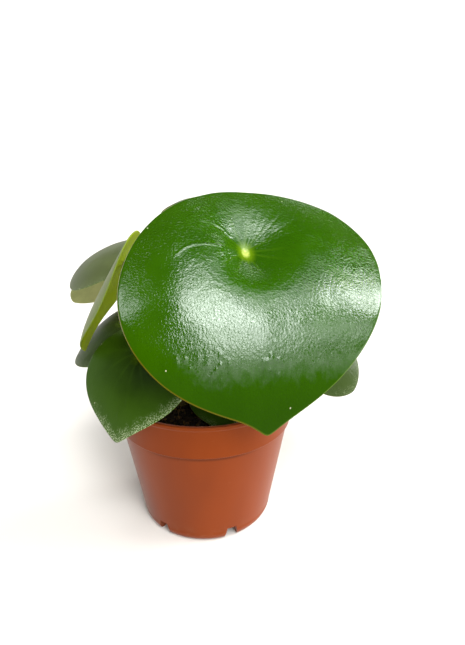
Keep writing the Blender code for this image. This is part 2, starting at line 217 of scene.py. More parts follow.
LEAVES = {
    "front_big": Leaf(
        (23.1, -22.6, 164.2), -77.3, 43.2, -1.7, 126.5, 133.9, "middle", 0.80, tip=6.8,
        tip_spread=0.156, tip_power=1.1, attach=0.32, side=-2.9, front=0.498, lean=-9.3, skew=-1.4,
        dome=7.6, curl=25.6, left_curl=3.5, right_curl=-0.6, twist=1.7, dimple=8.7,
        dimple_width=21.5, dimple_lean=(0.27, -0.14, 0.2), wave=0, thick=2.0, stalk=2.4,
        finish="glossy"),
    "left_low": Leaf(
        (-30.3, -26.9, 112), -118.5, 45, -1.5, 65.5, 65, "left", 0.50, wave=0.4, finish="frosted_sheen"),
    "left_behind": Leaf(
        (-49.3, 29.8, 110.3), 177.5, 28, -19, 60, 51, "left", 0.60, tip=3, tip_spread=0.5, attach=0.22),
    "left_edge": Leaf(
        (-41.2, -9.4, 157.5), 168.6, 58.4, -4.3, 78.5, 43.1, "left", 0.90, tip=5.2, attach=0.23,
        lean=4.7, dome=0.3, curl=3.5, left_curl=6.6, right_curl=5.9, twist=-0.3, wave=0,
        finish="young"),
    "left_high": Leaf(
        (-45, 47.5, 157), 205.8, 18, -2.6, 67, 59.4, "left", 0.95, tip=0, attach=0.27, skew=2.6,
        dome=4.4, curl=6.8, finish="pale"),
    "left_under": Leaf(
        (-61, 64, 132.7), 177.5, 19.5, 31.5, 52.5, 45.5, "left", 1.0, tip=2, tip_spread=0.5,
        finish="pale"),
    "top_back": Leaf((-3.5, 38, 186), 110, 15, -5, 46.5, 45, "middle", 1.0, tip=5, finish="pale"),
    "right_low": Leaf((63, 8, 106.3), -25, 39, 26, 56, 47.5, "middle", 0.55, tip=2, tip_spread=0.5),
    "rim_small": Leaf((12, -15, 84), -88, 6, 0, 41, 40, "front", 0.60, tip=5, finish="frosted_sheen"),
    "right_high": Leaf((66, 22, 150), 10, 20, 5, 66, 62, "middle", 0.90),
    "right_mid": Leaf((50, -6, 134), -14, 36, 0, 54, 52, "middle", 0.65),
    "right_young": Leaf(
        (33, 27, 93), 35, 26, 0, 36, 33, "front", 0.90, tip=5, thick=1.3, stalk=1.5, finish="young"),
    "back_left": Leaf((-8, 70, 128), 100, 34, 0, 62, 60, "left", 0.90),
    "back_right": Leaf((46, 62, 128), 50, 38, 0, 66, 62, "middle", 0.80),
    "back_low": Leaf((10, 42, 98), 85, 36, 0, 46, 44, "middle", 0.35, tip=6),
    "back_high": Leaf((30, 66, 164), 75, 22, 0, 60, 58, "middle", 1.0, tip=7, finish="pale"),
    "top_young": Leaf(
        (22, 16, 168), 30, 10, 0, 32, 29, "middle", 1.0, tip=5, thick=1.3, stalk=1.4, finish="young"),
}


# Shader maths

class Wire:
    """A node's socket that takes part in sums. A wire with no socket is a tree to add nodes to."""

    def __init__(self, tree, socket=None):
        self.tree = tree
        self.socket = socket

    def node(self, kind, settings=None, inputs=None, output=0):
        """Adds a node: its settings first, then the values or wires of its sockets."""
        made = self.tree.nodes.new(kind)
        for name, value in (settings or {}).items():
            setattr(made, name, value)
        for name, value in (inputs or {}).items():
            if isinstance(value, Wire):
                self.tree.links.new(value.socket, made.inputs[name])
            else:
                made.inputs[name].default_value = value
        return Wire(self.tree, made.outputs[output])

    def math(self, operation, *values):
        return self.node("ShaderNodeMath", {"operation": operation}, dict(enumerate(values)))

    def __add__(self, other):
        return self.math("ADD", self, other)

    def __sub__(self, other):
        return self.math("SUBTRACT", self, other)

    def __mul__(self, other):
        return self.math("MULTIPLY", self, other)

    def __rsub__(self, other):
        return self.math("SUBTRACT", other, self)

    __radd__ = __add__
    __rmul__ = __mul__


def attribute(wire, name, vector=False):
    """A wire with the piece's own attribute."""
    return wire.node("ShaderNodeAttribute", {"attribute_name": name}, output=1 if vector else 2)


def object_place(wire):
    return wire.node("ShaderNodeTexCoord", output=3)


def noise(place, scale, detail=2.0, roughness=0.5, distortion=0.0):
    """Noise from 0 to 1 over a vector wire."""
    sizes = {"Scale": scale, "Detail": detail, "Roughness": roughness, "Distortion": distortion}
    return place.node("ShaderNodeTexNoise", inputs={"Vector": place, **sizes})


def distance(place, centre):
    """How far a vector wire is from a point."""
    return place.node("ShaderNodeVectorMath", {"operation": "DISTANCE"}, {0: place, 1: centre}, output=1)


def stretched(place, factors):
    """The vector with each of its axes scaled."""
    return place.node("ShaderNodeVectorMath", {"operation": "MULTIPLY"}, {0: place, 1: factors})


def axis(place, number):
    """One of a vector wire's three numbers."""
    return place.node("ShaderNodeSeparateXYZ", inputs={0: place}, output=number)


def fade(value, low, high):
    """A smooth step from 0 at low to 1 at high. It runs down where low is the larger."""
    spans = {"Value": value, "From Min": low, "From Max": high}
    return value.node("ShaderNodeMapRange", {"interpolation_type": "SMOOTHSTEP"}, spans)


def blend(factor, first, second):
    """A colour from first, at factor 0, to second, at factor 1."""
    colours = {0: factor, 6: shade(first), 7: shade(second)}
    return factor.node("ShaderNodeMix", {"data_type": "RGBA"}, colours, 2)


def shade(colour):
    return colour if isinstance(colour, Wire) else (*colour, 1)


def bumped(height, distance, under=None):
    """A normal from a height of 0 to 1, which stands distance mm at most."""
    sizes = {"Height": height, "Distance": distance * MM, "Strength": 1.0}
    if under:
        sizes["Normal"] = under
    return height.node("ShaderNodeBump", inputs=sizes)


def new_finish(name, constants):
    """A Principled material with its constant sockets set, and a wire to build its nodes from."""
    made = bpy.data.materials.new(name)
    made.use_nodes = True
    for socket, value in constants.items():
        made.node_tree.nodes["Principled BSDF"].inputs[socket].default_value = value
    return made, Wire(made.node_tree)


def plug(made, **sockets):
    """Links wires to the shader's sockets. An underscore in a name stands for a space."""
    shader = made.node_tree.nodes["Principled BSDF"]
    for name, wire in sockets.items():
        made.node_tree.links.new(wire.socket, shader.inputs[name.replace("_", " ")])


def tone(red, green, blue):
    """A screen colour of 0 to 255 as linear light."""
    return tuple(
        ((part / 255 + 0.055) / 1.055) ** 2.4 if part > 10 else part / 3295
        for part in (red, green, blue)
    )


# Finishes

class LeafLook(NamedTuple):
    """How a kind of blade looks.

    deep and fresh are the greens of its upper side, margin is the green near its edge and under that of
    its underside, which on pale and young blades is brightened as painted light shining through. The
    frost number sets a pale bloom along the margin that is partly painted sheen, and star the strength
    of the pale spot and of the rays round it. wrinkles and pores are the heights, in mm, of bumps too
    fine for the mesh, and the tip number is how strongly painted shade darkens the blade towards its
    tip.
    """

    deep: tuple
    fresh: tuple
    margin: tuple
    under: tuple
    shine: float = 0.2
    roughness: float = 0.42
    frost_sheen: float = 0.0
    pale_margin: float = 0.3
    star: float = 0.5
    wrinkles: float = 0.10
    pores: float = 0.01
    painted_tip_shade: float = 0.0


LEAF_LOOKS = {
    "glossy": LeafLook(
        deep=tone(36, 76, 0), fresh=tone(41, 83, 0), margin=tone(50, 84, 0), under=tone(110, 122, 62),
        shine=1.0, roughness=0.11, star=1.0, wrinkles=0.20, pores=0.015, painted_tip_shade=0.5),
    "waxy": LeafLook(
        deep=tone(40, 58, 15), fresh=tone(46, 64, 18), margin=tone(54, 70, 24),
        under=tone(110, 118, 66), shine=0.15, frost_sheen=0.3, pale_margin=0.2),
    "frosted_sheen": LeafLook(
        deep=tone(31, 54, 2), fresh=tone(38, 63, 3), margin=tone(50, 80, 8), under=tone(104, 114, 58),
        shine=0.12, roughness=0.44, frost_sheen=1.0, pale_margin=0.7),
    # pale: its underside is the leaf's own paler colour, brightened further as painted light shining
    # through the blade
    "pale": LeafLook(
        deep=tone(78, 88, 54), fresh=tone(88, 99, 61), margin=tone(72, 84, 50),
        under=tone(172, 178, 120), roughness=0.46, frost_sheen=0.2, pale_margin=0.4, star=0.4),
    # young: its underside is the leaf's own paler colour, brightened further as painted light shining
    # through the blade
    "young": LeafLook(
        deep=tone(104, 116, 70), fresh=tone(114, 126, 78), margin=tone(96, 112, 60),
        under=tone(140, 160, 30), frost_sheen=0.1),
}
SPOT_COLOUR = tone(178, 196, 96)
HALO_COLOUR = tone(104, 138, 12)
VEIN_COLOUR = tone(84, 122, 18)
EDGE_GREEN = tone(98, 126, 36)
EDGE_YELLOW = tone(128, 126, 24)
EDGE_ORANGE = tone(122, 76, 18)
# The colour of the pale bloom, partly painted sheen
FROST_SHEEN_COLOUR = tone(182, 197, 158)
SPECK_COLOUR = tone(200, 200, 172)
BLOTCH_COLOUR = tone(78, 64, 34)
WAX_TINT = (0.9, 1.0, 0.98, 1.0)
WAX_THINS = 64.0  # mm along the blade
WAX_GONE = 77.0
WAX_RAGGED = 16.0  # how uneven its end is
WAX_LEFT = 20.0  # how much sooner it ends at the left
DULL_SHINE = 0.02
SPECK_SCALE = 0.22
STALK_DEEP = tone(90, 109, 44)
STALK_PALE = tone(120, 134, 66)
STALK_FLECK = tone(96, 67, 35)
STALK_RED = tone(83, 74, 35)
PEAT_BLACK = tone(16, 11, 6)
PEAT_BROWN = tone(48, 33, 20)
STRAW_COLOUR = tone(92, 68, 36)
PLASTIC_DEEP = tone(114, 46, 3)
PLASTIC_LIGHT = tone(125, 52, 5)
SCUFF_COLOUR = tone(156, 99, 66)
# The colour of the painted shade under the collar's step
CREASE_SHADE_COLOUR = tone(62, 24, 6)
DUST_COLOUR = tone(140, 104, 80)
PAPER_DARK = (0.79, 0.78, 0.765)
PAPER_LIGHT = (0.81, 0.80, 0.785)


def leaf_finish(name, look):
    """A waxy skin over wrinkled flesh. Near the tip the wax is thin, and shines less."""
    made, root = new_finish(
        name, {"IOR": 1.5, "Specular IOR Level": look.shine, "Specular Tint": WAX_TINT})
    place = attribute(root, "place", vector=True)
    share, upper, vein, wrinkled = (attribute(root, label) for label in BLADE_LABELS)
    along, across = axis(place, 0), axis(place, 1)
    away = distance(place, (0.0, 0.0, 0.0))
    star = distance(stretched(place, (0.7, 1.0, 0.0)), (0.9, 0.0, 0.0))

    patches = noise(place, 0.05, 3.0, 0.55)
    flecks = noise(place, 1.6, 3.0, 0.6)
    colour = blend(fade(patches, 0.3, 0.7), look.deep, look.fresh)
    colour = blend(fade(flecks, 0.55, 0.8) * 0.15, colour, look.fresh)
    colour = blend(fade(share + patches * 0.2, 0.5, 1.1) * look.pale_margin, colour, look.margin)
    # Painted shade: the blade is darkened towards its tip, where it turns away from the light above
    painted_shade = tuple(0.4 * part for part in look.deep)
    colour = blend(fade(along, 20.0, 85.0) * look.painted_tip_shade, colour, painted_shade)

    rays = vein * fade(away, 24.0, 3.0)
    colour = blend(rays * 0.25 * look.star, colour, VEIN_COLOUR)
    colour = blend(vein * fade(away, 60.0, 10.0) * 0.1, colour, look.margin)
    ragged = star + noise(place, 0.9, 3.0, 0.6) * 2.4
    colour = blend(fade(ragged, 7.4, 2.8) * 0.8 * look.star, colour, HALO_COLOUR)
    colour = blend(fade(ragged, 4.0, 2.2) * look.star, colour, SPOT_COLOUR)
    ring = fade(away, 0.5, 1.0) * fade(away, 1.7, 1.1)
    colour = blend(ring * 0.35 * look.star, colour, VEIN_COLOUR)

    # A pale bloom along the margin, partly real and partly painted sheen, and a patch of painted sheen
    # on the round end behind the spot
    margin = fade(share + noise(place, 0.3, 4.0, 0.7) * 0.3, 1.0, 1.22)
    margin = margin * fade(along * 0.6 + across, -8.0, 22.0)
    behind = fade(share, 0.55, 0.9) * fade(along, -4.0, -16.0) * 0.5
    frost_sheen = (margin + behind) * fade(noise(place, 1.6, 2.0, 0.6), 0.47, 0.60)
    colour = blend(frost_sheen * look.frost_sheen, colour, FROST_SHEEN_COLOUR)

    cells = {"Vector": place, "Scale": SPECK_SCALE}
    dots = place.node("ShaderNodeTexVoronoi", {"feature": "F1"}, cells, output=0)
    chosen = place.node("ShaderNodeTexVoronoi", {"feature": "F1"}, cells, output=1)
    lucky = chosen.node("ShaderNodeSeparateColor", inputs={"Color": chosen})
    specks = fade(dots, 0.09, 0.05) * fade(lucky, 0.72, 0.74) * fade(share, 0.8, 0.88)
    colour = blend(specks * 0.8, colour, SPECK_COLOUR)

    brown = fade(noise(place, 0.12, 4.0, 0.6), 0.66, 0.74)
    # The underside's colour; on pale and young blades it is brightened as painted light shining through
    lower = blend(fade(noise(place, 0.1, 3.0), 0.3, 0.7) * 0.25, look.under, look.fresh)
    lower = blend(vein * fade(away, 60.0, 5.0) * 0.35, lower, SPECK_COLOUR)
    lower = blend(brown * 0.7, lower, BLOTCH_COLOUR)
    colour = blend(upper, lower, colour)

    reddened = blend(noise(place, 0.05, 2.0), EDGE_YELLOW, EDGE_ORANGE)
    edge = blend(fade(across, 12.0, -12.0), EDGE_GREEN, reddened)
    colour = blend(fade(share, 0.990, 0.997) * 0.55 * look.star, colour, edge)

    crumpled = noise(place, 1.0, 2.0, 0.5, 0.6) * wrinkled
    normal = bumped(noise(place, 3.2, 2.0, 0.5), look.pores, bumped(crumpled, look.wrinkles))
    roughness = look.roughness + crumpled * 0.08 - 0.04 + specks * 0.3 + frost_sheen * 0.25
    roughness = roughness + (1 - upper) * 0.2
    plug(made, Base_Color=colour, Roughness=roughness, Normal=normal)
    low = along + fade(across, -24.0, -58.0) * WAX_LEFT + noise(place, 0.25, 4.0, 0.7) * WAX_RAGGED
    thin = fade(low, WAX_THINS, WAX_GONE) + fade(upper, 1.0, 0.0)
    return dulled(made, root, thin)


def dulled(made, root, amount):
    """Turns the shine down by an amount of 0 to 1, by mixing in the same skin with little shine."""
    tree = made.node_tree
    shiny = tree.nodes["Principled BSDF"]
    dull = tree.nodes.new("ShaderNodeBsdfPrincipled")
    dull.inputs["Specular IOR Level"].default_value = DULL_SHINE
    for name in ("Base Color", "Roughness", "Normal"):
        tree.links.new(shiny.inputs[name].links[0].from_socket, dull.inputs[name])
    skins = {1: Wire(tree, shiny.outputs[0]), 2: Wire(tree, dull.outputs[0])}
    mixed = root.node("ShaderNodeMixShader", inputs={0: amount, **skins})
    tree.links.new(mixed.socket, tree.nodes["Material Output"].inputs["Surface"])
    return made


def stalk_finish():
    """Pale green skin with fine streaks and reddish flecks, redder near the soil."""
    made, root = new_finish("stalk_skin", {"IOR": 1.42})
    place = object_place(root)
    joint = attribute(root, "joint")
    streaks = noise(stretched(place, (900, 900, 90)), 1.0, 3.0)
    flecks = noise(place, 1400, 2.0, 0.6)
    colour = blend(fade(streaks, 0.3, 0.7), STALK_DEEP, STALK_PALE)
    colour = blend(fade(flecks, 0.6, 0.75) * 0.5, colour, STALK_FLECK)
    colour = blend(joint, colour, STALK_RED)
    plug(made, Base_Color=colour, Roughness=0.36 + streaks * 0.2, Normal=bumped(streaks, 0.12))
    return made


def soil_finish():
    """Near-black peat with brown crumbs and a few straw-coloured fibres."""
    made, root = new_finish("peat", {"Roughness": 0.95, "Specular IOR Level": 0.25})
    place = object_place(root)
    lumps = noise(place, 260, 4.0, 0.65)
    crumbs = attribute(root, "crumb")
    dry = fade(crumbs, 0.55, 1.0)
    colour = blend(fade(lumps, 0.3, 0.75), PEAT_BLACK, PEAT_BROWN)
    colour = blend(dry * 0.8, colour, STRAW_COLOUR)
    plug(made, Base_Color=colour, Normal=bumped(noise(place, 1500, 3.0, 0.7), 0.5))
    return made


def pot_finish():
    """Satin terracotta-coloured plastic: faint flow marks and scuffs, painted shade under the collar and
    a little dust.
    """
    made, root = new_finish("terracotta_plastic", {
        "IOR": 1.47, "Specular IOR Level": 0.12, "Sheen Weight": 0.12, "Sheen Roughness": 0.35})
    place = object_place(root)
    height = axis(place, 2)
    aside = axis(place, 0)
    flow = noise(stretched(place, (22, 22, 9)), 1.0, 3.0, 0.55)
    grain = noise(place, 1800, 2.0, 0.5)
    scuffs = noise(stretched(place, (240, 240, 900)), 1.0, 4.0, 0.7)
    colour = blend(fade(flow, 0.3, 0.7), PLASTIC_DEEP, PLASTIC_LIGHT)
    colour = blend(fade(scuffs, 0.62, 0.8) * 0.25, colour, SCUFF_COLOUR)
    # Painted shade under the collar's step: a dark line on the body, darkest at the front and back
    crease_shade = fade(height, CREASE_SHADE_LOW * MM, CREASE_SHADE_HIGH * MM)
    crease_shade = crease_shade * fade(height, (COLLAR_FOOT + 0.3) * MM, COLLAR_FOOT * MM)
    crease_shade = crease_shade * fade(aside * aside, (CREASE_SHADE_GONE * MM) ** 2, (CREASE_SHADE_FULL * MM) ** 2)
    colour = blend(crease_shade * fade(flow, 0.2, 0.6) * 0.5, colour, CREASE_SHADE_COLOUR)
    dust = fade(height, 0.014, 0.0) * fade(noise(place, 130, 4.0, 0.7), 0.45, 0.7)
    colour = blend(dust * 0.3, colour, DUST_COLOUR)
    roughness = 0.36 + flow * 0.08 + fade(scuffs, 0.55, 0.8) * 0.14 + dust * 0.2
    plug(made, Base_Color=colour, Roughness=roughness, Normal=bumped(grain, 0.02))
    return made


def floor_finish():
    made, root = new_finish("studio_paper", {"Roughness": 0.9, "Specular IOR Level": 0.1})
    tint = noise(object_place(root), 3.0, 2.0)
    plug(made, Base_Color=blend(tint, PAPER_DARK, PAPER_LIGHT))
    return made


# Meshes

LATTICE = np.random.default_rng(11).uniform(-1, 1, 8192)
MIXERS = np.array([73856093, 19349663, 83492791])


def lumps(points, size, seed=0):
    """Smooth noise from -1 to 1 at points with 2 or 3 coordinates, with lumps about size across."""
    cells = np.floor(points / size)
    part = points / size - cells
    part = part * part * (3 - 2 * part)
    cells = cells.astype(np.int64) + 977 * seed
    total = np.zeros(points.shape[:-1])
    for corner in product((0, 1), repeat=points.shape[-1]):
        weight = np.prod(np.where(np.array(corner) == 1, part, 1 - part), -1)
        keys = np.bitwise_xor.reduce((cells + corner) * MIXERS[: points.shape[-1]], -1)
        total += weight * LATTICE[keys % len(LATTICE)]
    return total


def smooth_step(value, low, high):
    part = np.clip((value - low) / (high - low), 0, 1)
    return part * part * (3 - 2 * part)


def new_mesh(name, points, faces, attributes=None):
    """A smooth mesh from points in mm, with attributes of one number or one vector for each point."""
    mesh = bpy.data.meshes.new(name)
    mesh.from_pydata((np.asarray(points) * MM).tolist(), [], faces)
    for label, values in (attributes or {}).items():
        kind, field = ("FLOAT", "value") if np.ndim(values) == 1 else ("FLOAT_VECTOR", "vector")
        layer = mesh.attributes.new(label, kind, "POINT")
        layer.data.foreach_set(field, np.ravel(values).astype(np.float32))
    mesh.shade_smooth()
    return mesh


def new_object(name, data):
    """Puts a mesh, lamp or camera in the scene."""
    thing = bpy.data.objects.new(name, data)
    bpy.context.scene.collection.objects.link(thing)
    return thing


def add_piece(name, mesh, finish, slot, *nodes):
    """Puts a finished piece in the scene, in place of its CAD nodes."""
    piece = new_object(name, mesh)
    mesh.materials.clear()
    mesh.materials.append(finish)
    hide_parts(*nodes)
    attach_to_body(piece, BODY)
    return piece


# Leaves

def leaf_turn(leaf):
    return Euler((radians(leaf.roll), radians(leaf.droop), radians(leaf.heading)))


def outline(turn, leaf):
    """The blade's edge in its own plane, at an angle from the tip: mm along it and across it."""
    body = leaf.length - leaf.tip
    back, front = body * (1 - leaf.front), body * leaf.front
    along = np.where(np.cos(turn) > 0, front, back) * np.cos(turn)
    away = np.hypot(turn, TIP_ROUND)
    along = along + leaf.tip * np.exp(-((away / leaf.tip_spread) ** leaf.tip_power))
    along = along + leaf.lean * np.sin(turn) * np.abs(np.sin(turn))
    return along, leaf.width / 2 * np.sin(turn) + leaf.skew * np.sin(2 * turn)


def spot_along(leaf):
    """The spot's place along the midrib, from the blade's widest line."""
    return leaf.attach * leaf.length - (leaf.length - leaf.tip) * (1 - leaf.front)


def blade_height(along, across, leaf):
    """How far the blade's middle surface stands above the flat round its spot, in mm."""
    half = leaf.width / 2
    half_length = (leaf.length - leaf.tip) / 2
    spot = spot_along(leaf)

    def bowl(a, c):
        a, c = a / half_length, c / half
        curled = leaf.curl * np.maximum(0, a) ** 3 + leaf.left_curl * np.maximum(0, -c) ** 3
        curled = curled + leaf.right_curl * np.maximum(0, c) ** 3
        return leaf.twist * a * c - leaf.dome * (a**2 + c**2) - curled

    away = (along - spot) ** 2 + (across - leaf.side) ** 2
    bearing = np.arctan2(across - leaf.side, along - spot)
    right, tipward, lengthways = leaf.dimple_lean
    leaning = right * np.sin(bearing) + tipward * np.cos(bearing) + lengthways * np.cos(2 * bearing)
    spread = leaf.dimple_width * (1 + leaning)
    rounding = (bowl(along, across) - bowl(spot, leaf.side)) * (1 - np.exp(-away / FLAT_ROUND_SPOT**2))
    return rounding + leaf.dimple * (1 - np.exp(-away / spread**2))


def middle_surface(share, turn, leaf):
    """Points of the blade in its own frame, in mm. share runs from the spot, 0, to the edge, 1."""
    spot = spot_along(leaf)
    along, across = outline(turn, leaf)
    along, across = spot + share * (along - spot), leaf.side + share * (across - leaf.side)
    height = blade_height(along, across, leaf) + leaf.wave * share**3 * np.sin(3 * turn + 0.7)
    place = np.stack([along - spot, across - leaf.side], -1)
    swell = sum(swelling * lumps(place, size, seed) for swelling, size, seed in SWELLS)
    swell = smooth_step(share, 0.1, 0.5) * swell
    return np.dstack([place, height + swell * leaf.width / BIG_WIDTH])


def polar(place):
    """Places on the blade as distances from the spot and angles from the tip."""
    return np.hypot(place[..., 0], place[..., 1]), np.arctan2(place[..., 1], place[..., 0])


def vein_mask(place, seed):
    """1 on the veins that fan out from the spot and 0 between them."""
    random = np.random.default_rng(seed)
    reach, bearing = polar(place)
    mask = np.zeros(reach.shape)
    for number in range(VEINS):
        start = 2 * pi * number / VEINS + random.uniform(-0.12, 0.12)
        bend = random.uniform(-0.006, 0.006) - 0.002 * sin(start)
        offset = bearing - start - bend * reach
        offset = (offset + pi) % (2 * pi) - pi
        gap = np.abs(np.sin(np.clip(offset, -pi / 2, pi / 2))) * reach
        mask = np.maximum(mask, np.exp(-((gap / (0.55 + 0.012 * reach)) ** 2)))
    return mask


def ridge(reach, bearing, line):
    """1 along the top of a raised line, and 0 away from it."""
    far, way = np.array(line).T
    offset = bearing - np.radians(np.interp(reach, far, way))
    aside = np.where(np.cos(offset) > 0, np.abs(np.sin(offset)) * reach, 99.0)
    ends = smooth_step(reach, far[0] - 2, far[0] + 3) * smooth_step(reach, far[-1] + 2, far[-1] - 5)
    return np.exp(-((aside / RIDGE_WIDTH) ** 2)) * ends


def patch(place, centre, radius):
    """1 at the middle of a round patch, fading out past its radius."""
    return np.exp(-(((place - np.array(centre)) ** 2).sum(-1)) / radius**2)


def blade_relief(place, share, leaf, seed):
    """How far the upper skin stands above the smooth blade, and how wrinkled it is, 0.15 to 1."""
    size = leaf.width / BIG_WIDTH
    reach, bearing = polar(place)
    reach = reach / size
    fan = np.stack([np.cos(bearing), np.sin(bearing)], -1)

    def ringed(length, count, number):
        return lumps(np.concatenate([reach[..., None] / length, fan * count], -1), 1.0, seed + number)

    leftward = smooth_step(np.cos(bearing + radians(108)), 0.2, 0.8)
    behind = 0.2 + 0.8 * smooth_step(-np.cos(bearing), 0.1, 0.7)
    folds = ringed(1.6, 1.3, 1) * leftward * smooth_step(reach, 8, 16) * smooth_step(reach, 48, 34)
    streaks = ringed(30.0, 14.0, 2) + 0.7 * ringed(22.0, 30.0, 9) * smooth_step(reach, 10, 20)
    streaks = streaks * behind * smooth_step(reach, 2, 8) * smooth_step(reach, 50, 34)
    wrinkles = ringed(1.3, 9.0, 3) + 0.6 * ringed(0.9, 17.0, 4)
    pebbles = lumps(place, 1.5 * size, seed + 5)
    patchy = 0.6 + 0.5 * lumps(place, 14 * size, seed + 6)
    blistered = smooth_step(lumps(place, 9 * size, seed + 7), 0.3, 0.6)
    blistered = blistered * smooth_step(place[..., 0], 20, 34)
    raised = FOLD_HEIGHT * folds + STREAK_HEIGHT * streaks
    taut = np.zeros(reach.shape)
    if leaf.finish == "glossy":
        raised = raised + RIDGE_HEIGHT * sum(ridge(reach, bearing, line) for line in RIDGES)
        blistered = sum(patch(place, centre, radius) for *centre, radius in BLISTERS)
        taut = sum(patch(place, centre, radius) for *centre, radius in TAUT)
    blisters = blistered * smooth_step(lumps(place, 1.9 * size, seed + 8), 0.0, 0.7)
    wrinkled = smooth_step(reach, 3, 12) * smooth_step(share, 1.0, 0.93)
    wrinkled = wrinkled * (1 - 0.8 * np.minimum(taut, 1))
    rough = (WRINKLE_HEIGHT * wrinkles + PEBBLE_HEIGHT * pebbles) * patchy + BLISTER_HEIGHT * blisters
    return (raised + rough * wrinkled) * size, 0.15 + 0.85 * wrinkled


def grid_faces(start, rings, sides, outward):
    """Quads between the rings of points that begin at start."""
    ring, side = np.meshgrid(np.arange(rings - 1), np.arange(sides), indexing="ij")
    here = start + ring * sides + side
    beside = start + ring * sides + (side + 1) % sides
    quads = np.stack([here, here + sides, beside + sides, beside], -1).reshape(-1, 4)
    return (quads if outward else quads[:, ::-1]).tolist()


def blade_mesh(name, leaf, seed):
    """A blade with a rounded edge, a relief on its upper side and raised veins below."""
    counts = FINE if leaf.finish == "glossy" else PLAIN
    sides = counts["sides"]
    spread = np.arange(sides) * 2 * pi / sides
    spread = np.where(spread > pi, spread - 2 * pi, spread)
    turn = (spread - 0.5 * np.sin(spread))[None, :]
    bend = np.linspace(0, pi / 2, EDGE_STEPS)[:, None]
    points, values, faces = [], [], []
    for upward, rings in ((True, counts["rings"]), (False, counts["under_rings"])):
        inner = np.linspace(0, 1 - EDGE_ROUND, rings - EDGE_STEPS + 2)[1:-1, None]
        share = np.concatenate([inner, 1 - EDGE_ROUND + EDGE_ROUND * np.sin(bend)])
        rounding = np.concatenate([np.ones_like(inner), np.cos(bend)])
        centre = middle_surface(share, turn, leaf)
        normal = np.cross(centre - middle_surface(share - 0.01, turn, leaf),
                          middle_surface(share, turn + 0.01, leaf) - centre)
        normal /= np.linalg.norm(normal, axis=-1)[..., None]
        place = centre[..., :2]
        share = np.broadcast_to(share, place.shape[:2])
        vein = vein_mask(place, seed) * smooth_step(share, 1.0, 0.8)
        half = leaf.thick / 2 * (1 - 0.5 * share**2)
        if upward:
            relief, wrinkled = blade_relief(place, share, leaf, seed)
            skin = half + relief - VEIN_GROOVE * vein
        else:
            wrinkled = np.full(share.shape, 0.5)
            skin = half + VEIN_HEIGHT * vein * smooth_step(share, 0.9, 0.1)
        side = centre + normal * (skin * rounding)[..., None] * (1 if upward else -1)
        start = sum(len(block) for block in points)
        pole = np.array([[0, 0, leaf.thick / 2 if upward else -leaf.thick / 2]])
        points += [pole, side.reshape(-1, 3)]
        shift = np.full(share.shape, 0 if upward else UNDER_SHIFT)
        upper = np.full(share.shape, upward)
        columns = np.dstack([place, shift, share, upper, vein, wrinkled])
        values += [[[0, 0, 0, 0, upward, 1, 0]], columns.reshape(-1, 7)]
        fan = [(start, start + 1 + number, start + 1 + (number + 1) % sides) for number in range(sides)]
        faces += fan if upward else [face[::-1] for face in fan]
        faces += grid_faces(start + 1, len(side), sides, upward)
    points = np.concatenate(points)
    turned = points @ np.array(leaf_turn(leaf).to_matrix()).T + np.array(leaf.spot)
    values = np.concatenate(values).T
    labels = {"place": values[:3].T, **dict(zip(BLADE_LABELS, values[3:]))}
    return weld(new_mesh(name, turned, faces, labels))


def weld(mesh):
    """Merges the points that two sides share."""
    work = bmesh.new()
    work.from_mesh(mesh)
    bmesh.ops.remove_doubles(work, verts=work.verts, dist=0.00001)
    work.to_mesh(mesh)
    work.free()
    return mesh


def make_leaves(finishes):
    for seed, (name, leaf) in enumerate(LEAVES.items()):
        mesh = blade_mesh("blade_" + name, leaf, seed)
        add_piece("blade_" + name, mesh, finishes[leaf.finish], "leaf", "leaf_" + name)


# Stems and stalks

def stem_ends(stem):
    foot = Vector((stem.foot[0], stem.foot[1], SOIL_TOP - STEM_DEPTH))
    return foot, Vector((stem.top[0], stem.top[1], stem.height))


def stem_point(stem, up):
    """A point on a stem's axis: it stands upright in its hole and leans above the soil."""
    foot, top = stem_ends(stem)
    return Vector((foot.x, foot.y, SOIL_TOP + 2)).lerp(top, up)


def stalk_line(leaf):
    """The points along a leaf's stalk, from inside its stem to inside the blade."""
    facing = leaf_turn(leaf).to_matrix() @ Vector((0, 0, 1))
    start = stem_point(STEMS[leaf.stem], leaf.up)
    end = Vector(leaf.spot) - facing * (leaf.thick / 2 + GAP)
    reach = (end - start).length
    outward = Vector((end.x - start.x, end.y - start.y, 0)).normalized()
    leaving = (outward * 0.6 + Vector((0, 0, 0.8))).normalized()
    first = start + leaving * reach * STALK_BEND
    second = end - facing * reach * STALK_BEND
    line = []
    for step in range(STALK_STEPS + 1):
        t = step / STALK_STEPS
        u = 1 - t
        line.append(start * u**3 + first * 3 * u * u * t + second * 3 * u * t * t + end * t**3)
    line.append(end + facing * (GAP + 0.3))
    return line


def tube(centres, radii, sides):
    """The points and faces of a closed tube along a list of points, with a radius at each."""
    points, faces = [], []
    side_way = Vector((1, 0, 0))
    for index, centre in enumerate(centres):
        along = (centres[min(index + 1, len(centres) - 1)] - centres[max(index - 1, 0)]).normalized()
        side_way = (side_way - along * side_way.dot(along)).normalized()
        other_way = along.cross(side_way)
        for side in range(sides):
            turn = 2 * pi * side / sides
            points.append(centre + (side_way * cos(turn) + other_way * sin(turn)) * radii[index])
    faces += grid_faces(0, len(centres), sides, False)
    faces.append(tuple(reversed(range(sides))))
    faces.append(tuple(range(len(points) - sides, len(points))))
    return points, faces


